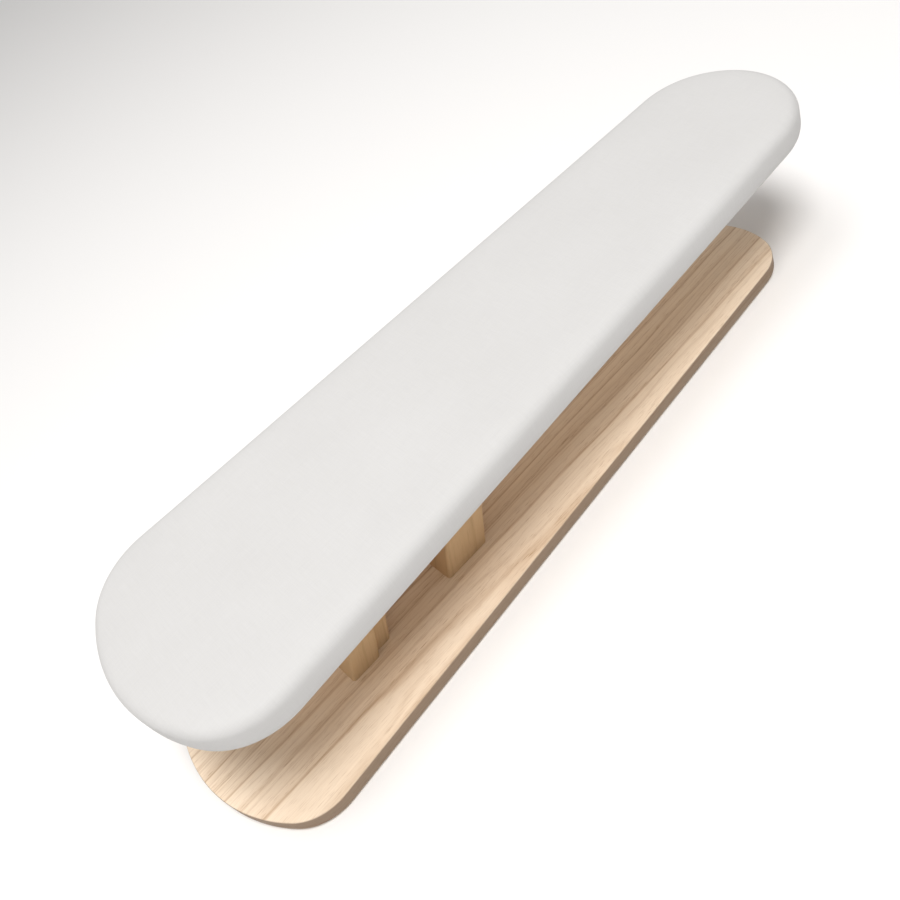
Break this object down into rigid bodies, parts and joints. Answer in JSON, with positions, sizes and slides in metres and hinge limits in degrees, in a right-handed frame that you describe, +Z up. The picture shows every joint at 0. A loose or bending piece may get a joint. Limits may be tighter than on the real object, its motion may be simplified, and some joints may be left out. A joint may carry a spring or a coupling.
{
  "type": "sleeve ironing board",
  "caption": "Small tapered ironing board for sleeves: a padded cotton-covered top on leaning wooden legs over a tapered wooden base.",
  "frame": {"origin": "on the table under the middle of the whole length and width", "axes": "+X along the board towards its free narrow end, +Y across it, +Z up"},
  "size_m": [0.6299, 0.1922, 0.13],
  "materials": {
    "base_wood": "smooth, unvarnished, straight grain along the board",
    "leg_wood": "smooth, unvarnished, grain along the leg",
    "core_wood": "planed, unvarnished, hidden by the padding",
    "screw_steel": "zinc plated",
    "foam": "open-cell sponge",
    "cover_cotton": "plain-woven white cotton, matt, stretched tight",
    "staple_wire": "galvanised flat wire"
  },
  "bodies": {
    "root": {"base_board": "base_wood", "wide_end_leg": "leg_wood", "backing_stave": "leg_wood", "narrow_side_leg": "leg_wood", "base_screws": "screw_steel", "top_screws": "screw_steel", "top_board": "core_wood", "foam_pad": "foam", "cover": "cover_cotton", "cover_staples": "staple_wire"}
  },
  "joints": []
}
